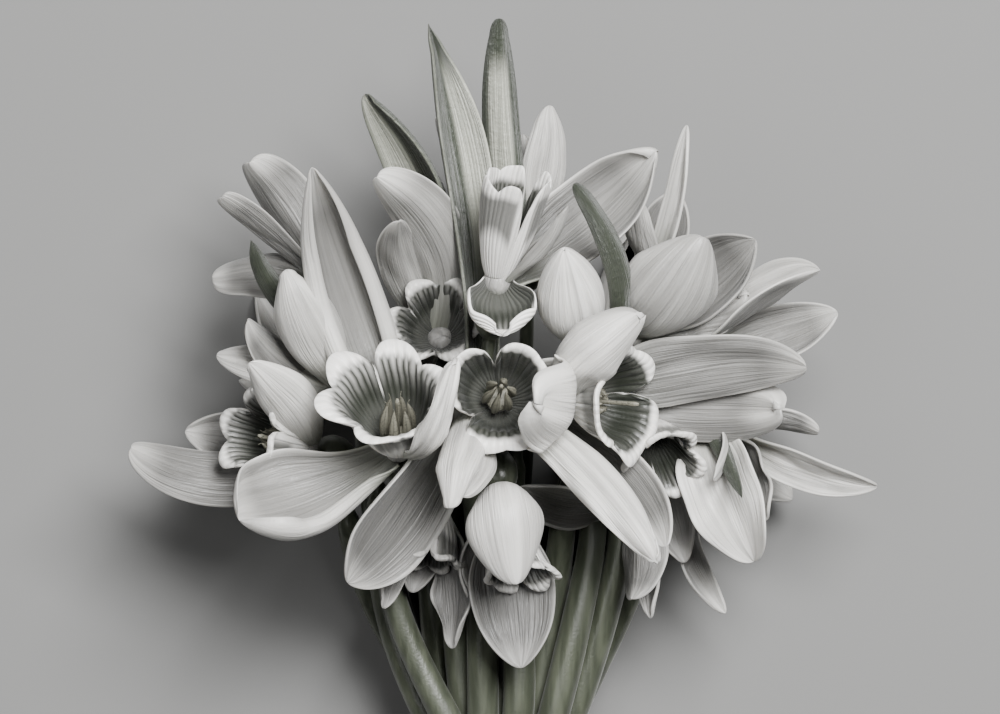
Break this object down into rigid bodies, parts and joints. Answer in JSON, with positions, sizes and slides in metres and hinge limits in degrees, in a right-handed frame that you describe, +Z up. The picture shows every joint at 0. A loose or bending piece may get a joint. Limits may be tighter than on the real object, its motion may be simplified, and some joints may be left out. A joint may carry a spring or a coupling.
{
  "type": "bunch of snowdrops",
  "caption": "Tied bunch of cut snowdrops lying on its back, with open nodding flowers, buds, spathes and a leaf above a bundle of stems.",
  "frame": {"origin": "middle of the flat spot under the tie, on the surface that the bunch lies on", "axes": "+Y along the stems from the cut ends to the flower heads, +Z up from the surface, +X to the right seen from above"},
  "size_m": [0.1016, 0.1665, 0.0547],
  "materials": {
    "tepal": "soft, slightly translucent white tissue with fine veins",
    "green": "smooth grey-green plant tissue with a soft sheen",
    "anther": "matte olive",
    "twine": "matte twisted natural fibre"
  },
  "bodies": {
    "root": {"bloom_back_left": "tepal", "bloom_back_right": "tepal", "bloom_big_bud": "tepal", "bloom_bud": "tepal", "bloom_front_left": "tepal", "bloom_front_mid": "tepal", "bloom_front_right": "tepal", "bloom_hanging": "tepal", "bloom_hooded_left": "tepal", "bloom_left": "tepal", "bloom_left_cup": "tepal", "bloom_low_left": "tepal", "bloom_low_right": "tepal", "bloom_low_right_cup": "tepal", "bloom_right_low": "tepal", "bloom_right_pair": "tepal", "bloom_right_tips": "tepal", "bloom_shaded_cup": "tepal", "bloom_top": "tepal", "bloom_upper_cup": "tepal", "bloom_upper_left": "tepal", "bloom_upright_right": "tepal", "stamens_front_left": "anther", "stamens_front_mid": "anther", "stamens_front_right": "anther", "stamens_left_cup": "anther", "stem_back_left": "green", "stem_back_right": "green", "stem_big_bud": "green", "stem_bud": "green", "stem_front_left": "green", "stem_front_mid": "green", "stem_front_right": "green", "stem_hanging": "green", "stem_hooded_left": "green", "stem_left": "green", "stem_left_cup": "green", "stem_low_left": "green", "stem_low_right": "green", "stem_low_right_cup": "green", "stem_right_low": "green", "stem_right_pair": "green", "stem_right_tips": "green", "stem_shaded_cup": "green", "stem_top": "green", "stem_upper_cup": "green", "stem_upper_left": "green", "stem_upright_right": "green", "tie": "twine"}
  },
  "joints": []
}
